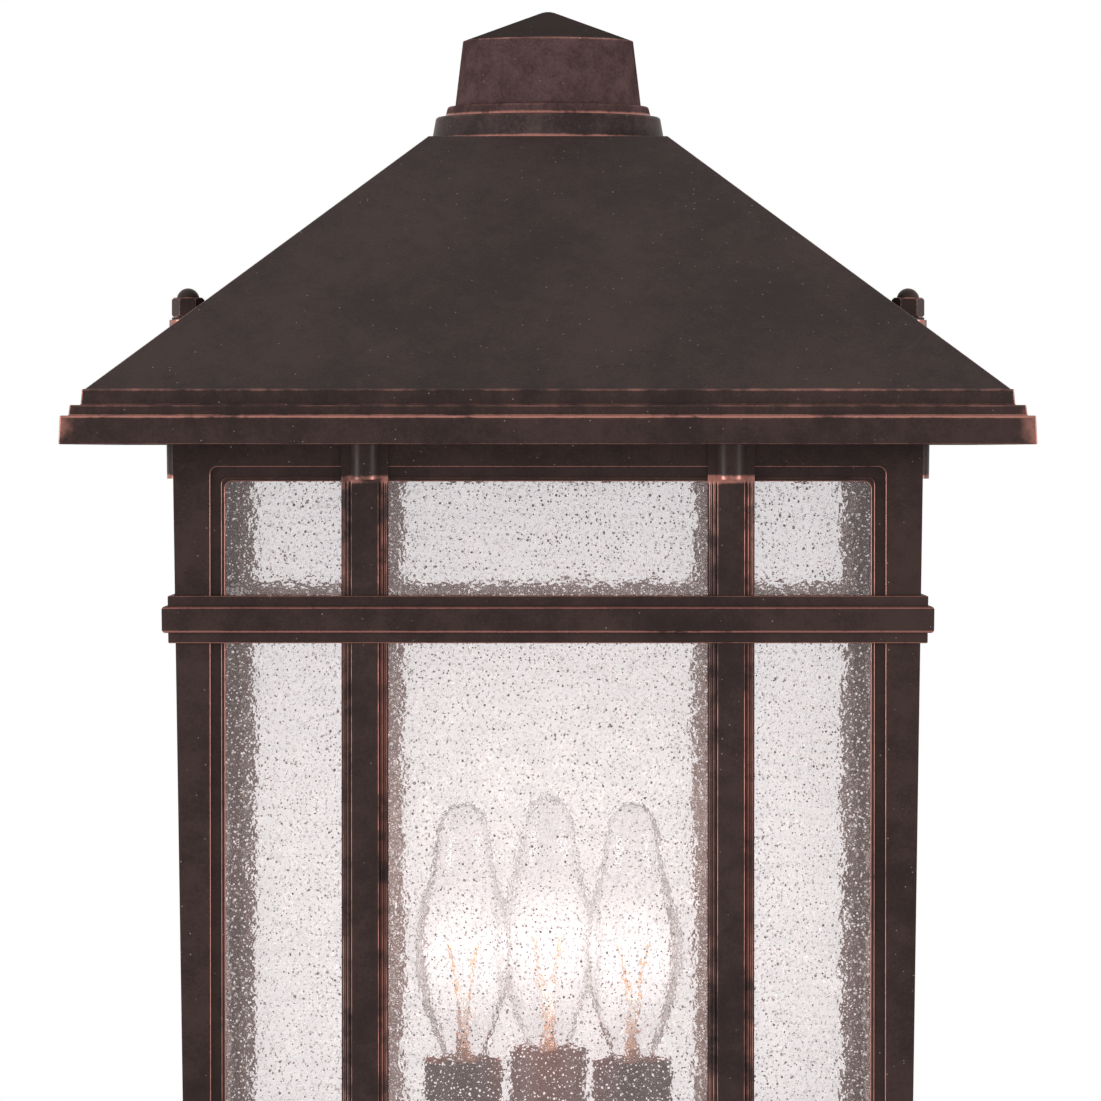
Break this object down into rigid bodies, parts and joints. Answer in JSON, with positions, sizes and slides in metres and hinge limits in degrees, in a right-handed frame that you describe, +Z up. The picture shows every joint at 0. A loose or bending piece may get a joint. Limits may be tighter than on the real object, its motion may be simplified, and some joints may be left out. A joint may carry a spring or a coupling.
{
  "type": "post top lantern",
  "caption": "Square post lantern: hipped roof with a round finial, leaning glazed cage with mullions and a belt rail, candle lamps inside, stepped base and a round post fitter.",
  "frame": {"origin": "centre of the post fitter's lower edge, where the lantern stands", "axes": "+Z up through the finial, -Y towards the front as pictured, +X to the right"},
  "size_m": [0.305, 0.305, 0.5461],
  "materials": {
    "bronze_casting": "satin oil-rubbed bronze paint on cast aluminium",
    "bronze_sheet": "satin bronze paint on sheet",
    "candle_sleeve": "dark bronze card or plastic sleeve",
    "seeded_glass": "clear seeded glass",
    "bulb_glass": "clear bulb glass",
    "brass": "bright brass",
    "steel": "zinc-plated steel",
    "filament": "glass stem with hot tungsten wire",
    "phenolic": "black moulded insulator",
    "rubber": "matt black rubber",
    "lead_insulation": "soft wire insulation",
    "connector": "moulded wire connector",
    "ground_green": "green dyed screw"
  },
  "bodies": {
    "root": {"base_pan": "bronze_casting", "belt_rail_back": "bronze_casting", "belt_rail_front": "bronze_casting", "belt_rail_left": "bronze_casting", "belt_rail_right": "bronze_casting", "cage_screws": "steel", "cage_top_plate": "bronze_sheet", "candle_sleeve_1": "candle_sleeve", "candle_sleeve_2": "candle_sleeve", "candle_sleeve_3": "candle_sleeve", "centre_contacts": "brass", "corner_brackets": "steel", "fitter_collar": "bronze_casting", "fitter_screws": "steel", "floor_grommet": "rubber", "floor_plate": "bronze_sheet", "foot_brackets": "steel", "glass_back": "seeded_glass", "glass_clips": "steel", "glass_front": "seeded_glass", "glass_left": "seeded_glass", "glass_right": "seeded_glass", "ground_screw": "ground_green", "mullions_back": "bronze_casting", "mullions_front": "bronze_casting", "mullions_left": "bronze_casting", "mullions_right": "bronze_casting", "plate_screws": "steel", "post_fitter": "bronze_casting", "roof_studs": "steel", "screw_shells": "brass", "side_frame_back": "bronze_casting", "side_frame_front": "bronze_casting", "side_frame_left": "bronze_casting", "side_frame_right": "bronze_casting", "socket_brackets": "steel", "socket_insulators": "phenolic", "socket_leads": "lead_insulation", "socket_plate": "bronze_sheet", "wire_connector": "connector"},
    "roof": {"roof_shell": "bronze_casting", "roof_collar": "bronze_casting", "finial_cap": "bronze_casting", "finial_screw": "steel", "finial_washer": "steel", "cap_nut_washers": "rubber"},
    "cap_nut_left": {"cap_nut_left": "bronze_casting"},
    "cap_nut_right": {"cap_nut_right": "bronze_casting"},
    "bulb_1": {"bulb_glass_1": "bulb_glass", "bulb_base_1": "brass", "filament_1": "filament"},
    "set_screw_1": {"set_screw_1": "steel"},
    "bulb_2": {"bulb_glass_2": "bulb_glass", "bulb_base_2": "brass", "filament_2": "filament"},
    "set_screw_2": {"set_screw_2": "steel"},
    "bulb_3": {"bulb_glass_3": "bulb_glass", "bulb_base_3": "brass", "filament_3": "filament"},
    "set_screw_3": {"set_screw_3": "steel"}
  },
  "joints": [
    {"name": "roof_lift", "type": "slide", "parent": "root", "child": "roof", "axis": [0, 0, 1], "range_m": [0, 0.12]},
    {"name": "cap_nut_left_unscrew", "type": "slide", "parent": "roof", "child": "cap_nut_left", "axis": [0, 0, 1], "range_m": [0, 0.012]},
    {"name": "cap_nut_right_unscrew", "type": "slide", "parent": "roof", "child": "cap_nut_right", "axis": [0, 0, 1], "range_m": [0, 0.012]},
    {"name": "bulb_1_unscrew", "type": "slide", "parent": "root", "child": "bulb_1", "axis": [0, 0, 1], "range_m": [0, 0.03]},
    {"name": "bulb_2_unscrew", "type": "slide", "parent": "root", "child": "bulb_2", "axis": [0, 0, 1], "range_m": [0, 0.03]},
    {"name": "bulb_3_unscrew", "type": "slide", "parent": "root", "child": "bulb_3", "axis": [0, 0, 1], "range_m": [0, 0.03]},
    {"name": "set_screw_1_travel", "type": "slide", "parent": "root", "child": "set_screw_1", "axis": [0, -1, 0], "range_m": [-0.006, 0.0017]},
    {"name": "set_screw_2_travel", "type": "slide", "parent": "root", "child": "set_screw_2", "axis": [0.866, 0.5, 0], "range_m": [-0.006, 0.0017]},
    {"name": "set_screw_3_travel", "type": "slide", "parent": "root", "child": "set_screw_3", "axis": [-0.866, 0.5, 0], "range_m": [-0.006, 0.0017]}
  ]
}
